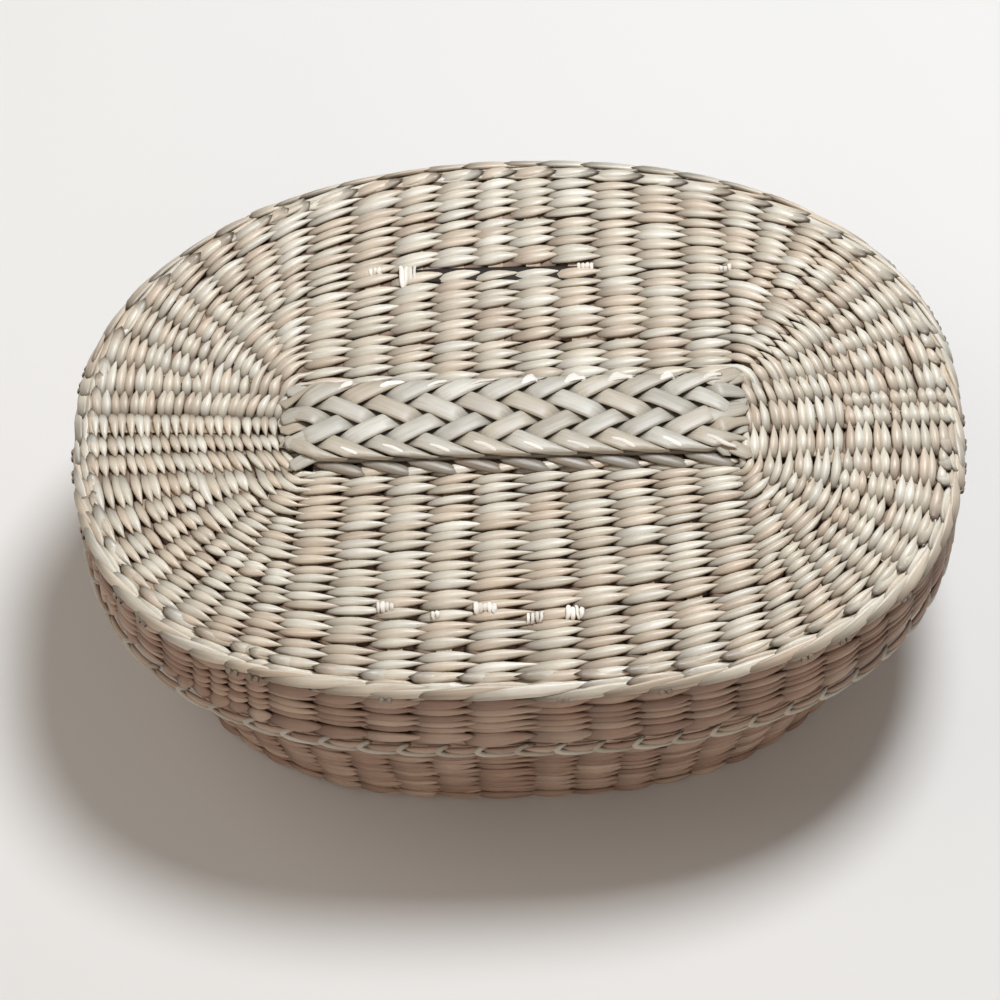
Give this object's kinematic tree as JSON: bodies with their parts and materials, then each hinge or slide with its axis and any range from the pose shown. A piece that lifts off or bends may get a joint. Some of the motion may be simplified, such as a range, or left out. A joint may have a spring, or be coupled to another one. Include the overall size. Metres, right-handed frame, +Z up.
{
  "type": "woven lidded box",
  "caption": "Oval box twined from dried rush, with a deep lift-off lid that has a flat plait along its middle, for keepsakes and small things.",
  "frame": {"origin": "centre of the box's outline, on the plane that its foot stands on", "axes": "+X along the box and its plait, +Y to the far side, +Z up, out of the base and through the lid"},
  "size_m": [0.3, 0.225, 0.1091],
  "materials": {
    "weave_rush": "dried rush weft, straw coloured, satin",
    "border_rush": "paler dried rush, satin",
    "stake_rush": "flat dried rush stakes, satin"
  },
  "bodies": {
    "base": {"base_cross_stake_1": "stake_rush", "base_cross_stake_2": "stake_rush", "base_cross_stake_3": "stake_rush", "base_cross_stake_4": "stake_rush", "base_cross_stake_5": "stake_rush", "base_cross_stake_6": "stake_rush", "base_cross_stake_7": "stake_rush", "base_cross_stake_8": "stake_rush", "base_floor_weave": "weave_rush", "base_foot_wale": "border_rush", "base_left_stake_1": "stake_rush", "base_left_stake_2": "stake_rush", "base_left_stake_3": "stake_rush", "base_left_stake_4": "stake_rush", "base_long_stake_1": "stake_rush", "base_long_stake_2": "stake_rush", "base_long_stake_3": "stake_rush", "base_long_stake_4": "stake_rush", "base_long_stake_5": "stake_rush", "base_right_stake_1": "stake_rush", "base_right_stake_2": "stake_rush", "base_right_stake_3": "stake_rush", "base_right_stake_4": "stake_rush", "base_rim_braid": "border_rush", "base_wall_weave": "weave_rush"},
    "lid": {"lid_cross_stake_1": "stake_rush", "lid_cross_stake_10": "stake_rush", "lid_cross_stake_2": "stake_rush", "lid_cross_stake_3": "stake_rush", "lid_cross_stake_4": "stake_rush", "lid_cross_stake_5": "stake_rush", "lid_cross_stake_6": "stake_rush", "lid_cross_stake_7": "stake_rush", "lid_cross_stake_8": "stake_rush", "lid_cross_stake_9": "stake_rush", "lid_hem_braid": "border_rush", "lid_left_stake_1": "stake_rush", "lid_left_stake_2": "stake_rush", "lid_left_stake_3": "stake_rush", "lid_left_stake_4": "stake_rush", "lid_left_stake_5": "stake_rush", "lid_left_stake_6": "stake_rush", "lid_left_stake_7": "stake_rush", "lid_plait_strand_1": "border_rush", "lid_plait_strand_2": "border_rush", "lid_plait_strand_3": "border_rush", "lid_plait_strand_4": "border_rush", "lid_plait_strand_5": "border_rush", "lid_plait_strand_6": "border_rush", "lid_plait_strand_7": "border_rush", "lid_right_stake_1": "stake_rush", "lid_right_stake_2": "stake_rush", "lid_right_stake_3": "stake_rush", "lid_right_stake_4": "stake_rush", "lid_right_stake_5": "stake_rush", "lid_right_stake_6": "stake_rush", "lid_right_stake_7": "stake_rush", "lid_rim_wale": "border_rush", "lid_skirt_weave": "weave_rush", "lid_top_weave": "weave_rush"}
  },
  "joints": [
    {"name": "lid_lift", "type": "slide", "parent": "base", "child": "lid", "axis": [0, 0, 1], "range_m": [0, 0.12]}
  ]
}
